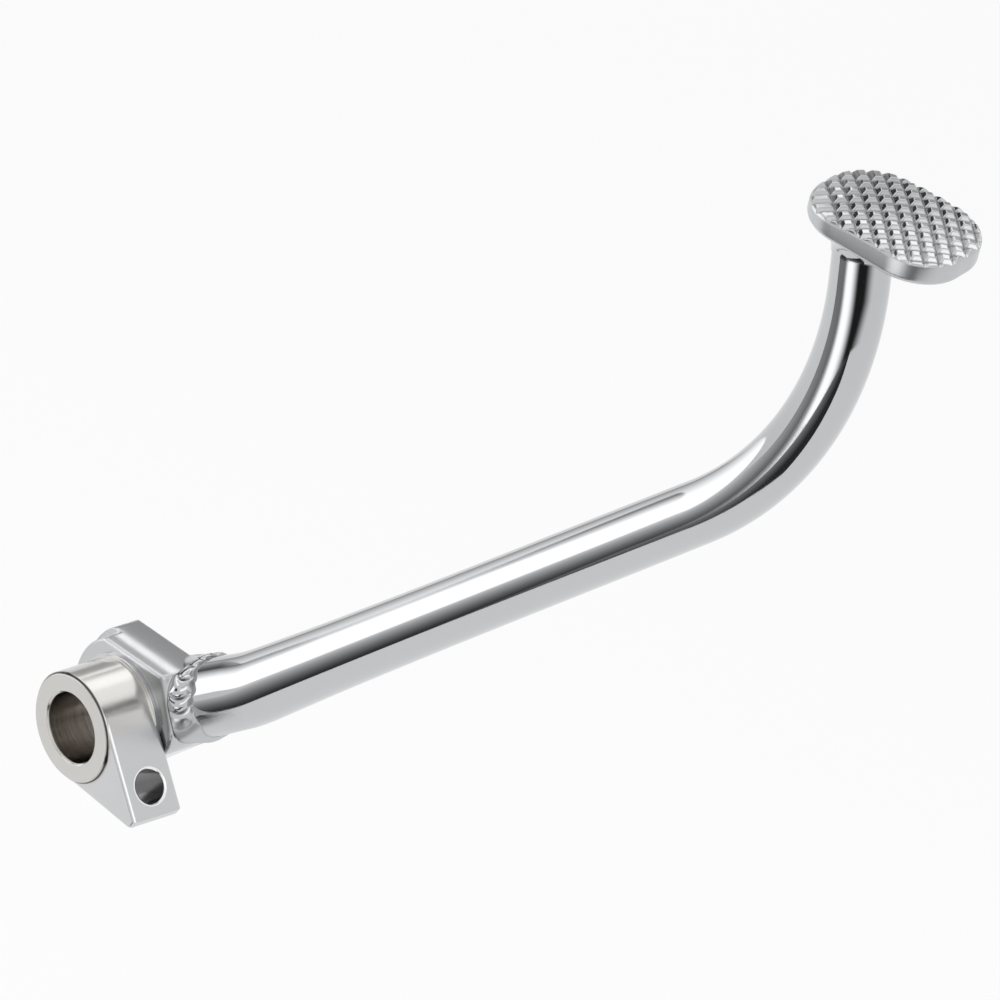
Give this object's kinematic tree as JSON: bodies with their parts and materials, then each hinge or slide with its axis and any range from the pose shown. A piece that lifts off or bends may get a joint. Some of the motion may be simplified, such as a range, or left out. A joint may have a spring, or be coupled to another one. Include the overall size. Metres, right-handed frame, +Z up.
{
  "type": "brake pedal",
  "caption": "Motorcycle rear brake pedal: a curved round bar welded between a pivot boss with a drilled rod lug and a foot pad with a pyramid tread",
  "frame": {"origin": "on the pivot axis, where the shoulder of the boss meets the front face of the hub block", "axes": "X runs forward along the pedal, Y along the pivot axis from the turned ring towards the block's plain side, Z up"},
  "size_m": [0.2205, 0.0883, 0.224],
  "materials": {
    "machined_steel": "satin nickel over turned and forged steel",
    "chromed_steel": "polished chrome",
    "weld": "rippled weld bead under chrome"
  },
  "bodies": {
    "root": {"pivot_boss": "machined_steel", "hub_block": "chromed_steel", "boss_weld": "weld", "pedal_arm": "chromed_steel", "arm_weld": "weld", "foot_pad": "chromed_steel", "pad_weld": "weld"}
  },
  "joints": []
}
